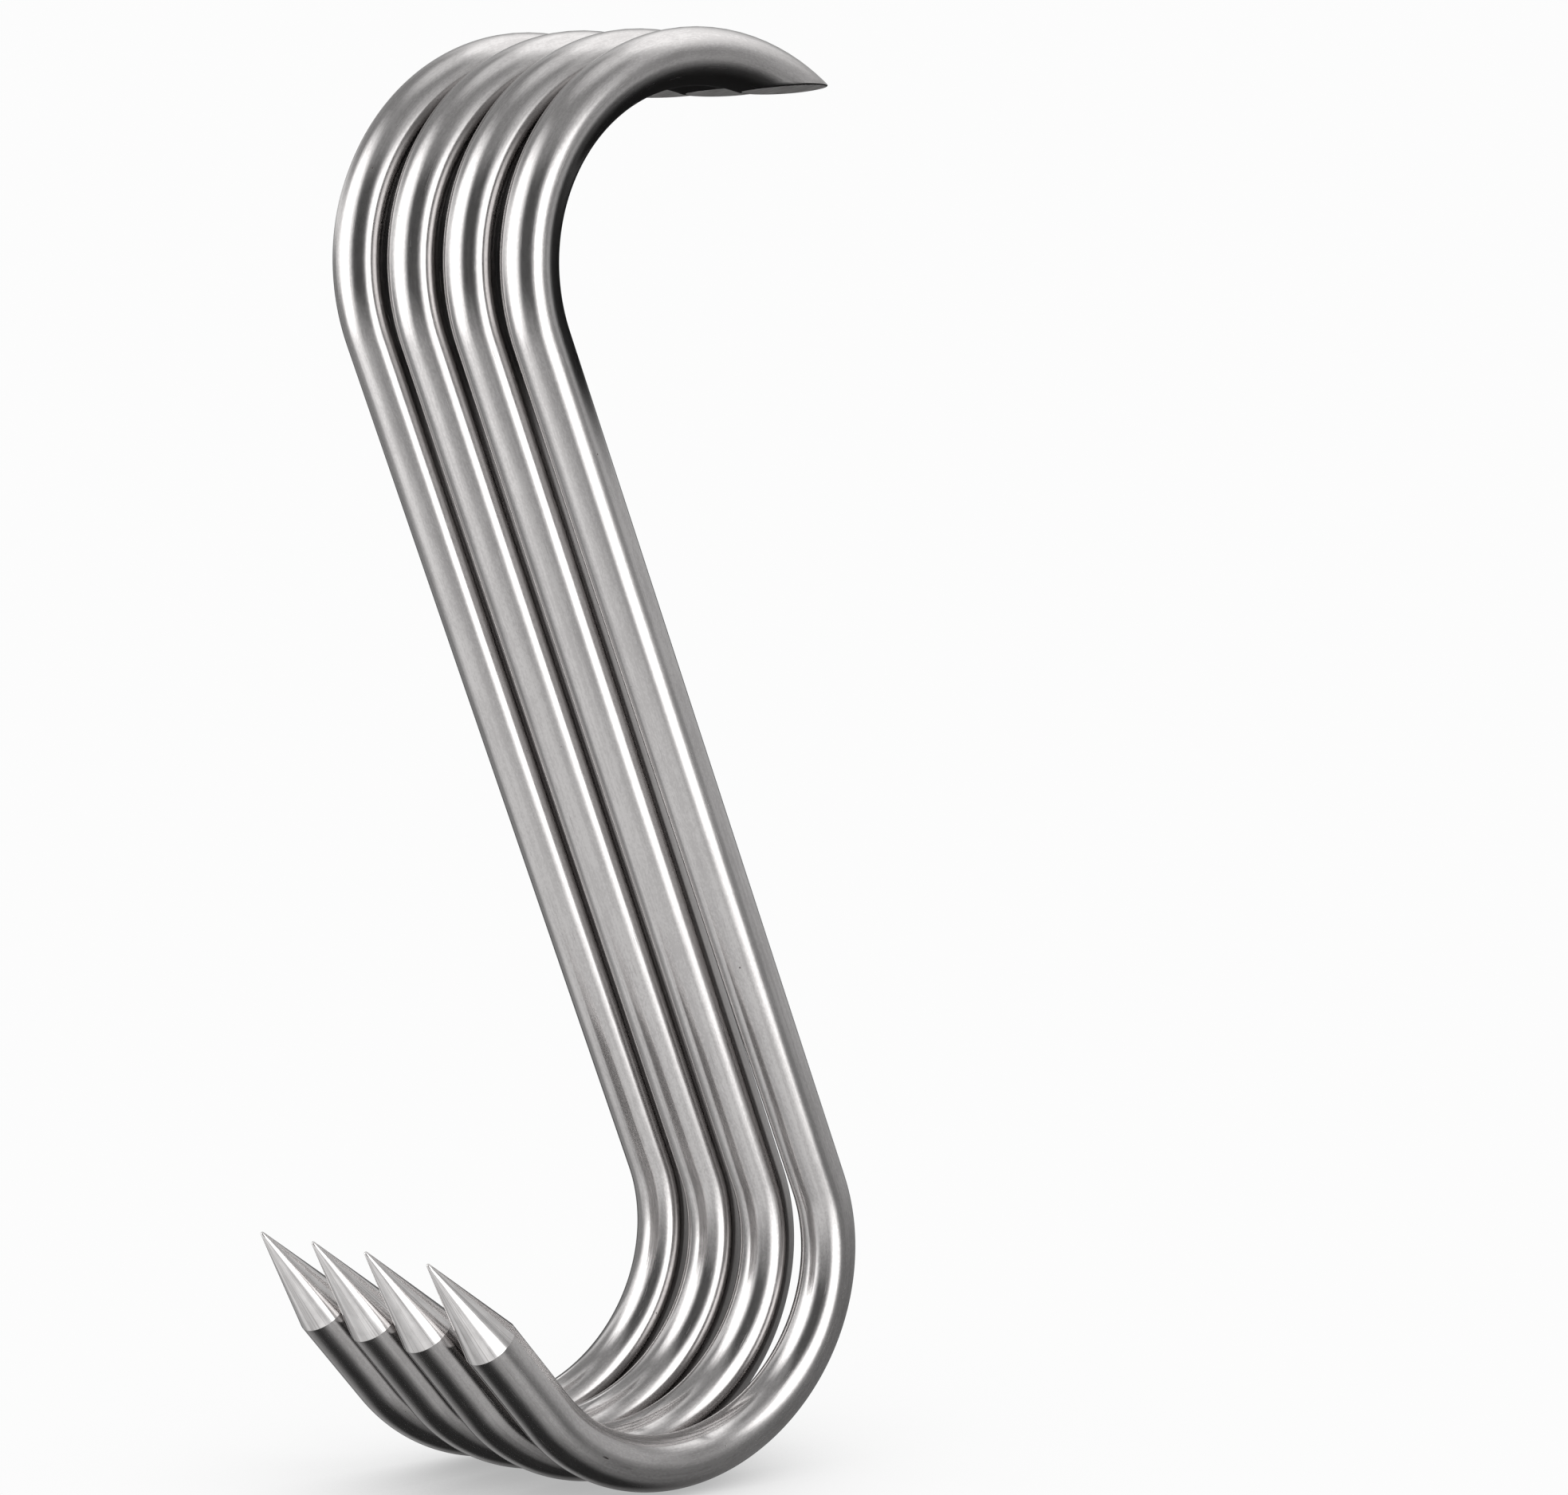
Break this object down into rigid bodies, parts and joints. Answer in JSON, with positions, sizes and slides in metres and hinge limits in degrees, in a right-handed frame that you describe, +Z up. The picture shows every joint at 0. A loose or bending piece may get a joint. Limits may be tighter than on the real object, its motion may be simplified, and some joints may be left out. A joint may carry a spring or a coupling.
{
  "type": "meat hook set",
  "caption": "Nested S-shaped meat hooks bent from round steel bar: open upper bend for a rail, leaning straight shank, lower bend ending in a ground conical point.",
  "frame": {"origin": "inside crown of the front hook's upper bend, the point that rests on a rail", "axes": "+Z up; every hook is bent in a plane parallel to XZ, with the upper bend opening to +X and the point to -X; the other hooks stand behind the front one towards +Y"},
  "size_m": [0.1045, 0.043, 0.2583],
  "materials": {
    "bar_steel": "polished drawn bar with fine lengthwise grain; points and upper ends ground"
  },
  "bodies": {
    "front_hook": {"hook_1": "bar_steel"},
    "second_hook": {"hook_2": "bar_steel"},
    "third_hook": {"hook_3": "bar_steel"},
    "rear_hook": {"hook_4": "bar_steel"}
  },
  "joints": [
    {"name": "second_hook_swing", "type": "hinge", "parent": "front_hook", "child": "second_hook", "pos_m": [-0.0045, 0.011, -0.031], "axis": [0, 1, 0], "range_deg": [-10, 45]},
    {"name": "third_hook_swing", "type": "hinge", "parent": "front_hook", "child": "third_hook", "pos_m": [-0.009, 0.022, -0.031], "axis": [0, 1, 0], "range_deg": [-10, 45]},
    {"name": "rear_hook_swing", "type": "hinge", "parent": "front_hook", "child": "rear_hook", "pos_m": [-0.0135, 0.033, -0.031], "axis": [0, 1, 0], "range_deg": [-10, 45]}
  ]
}
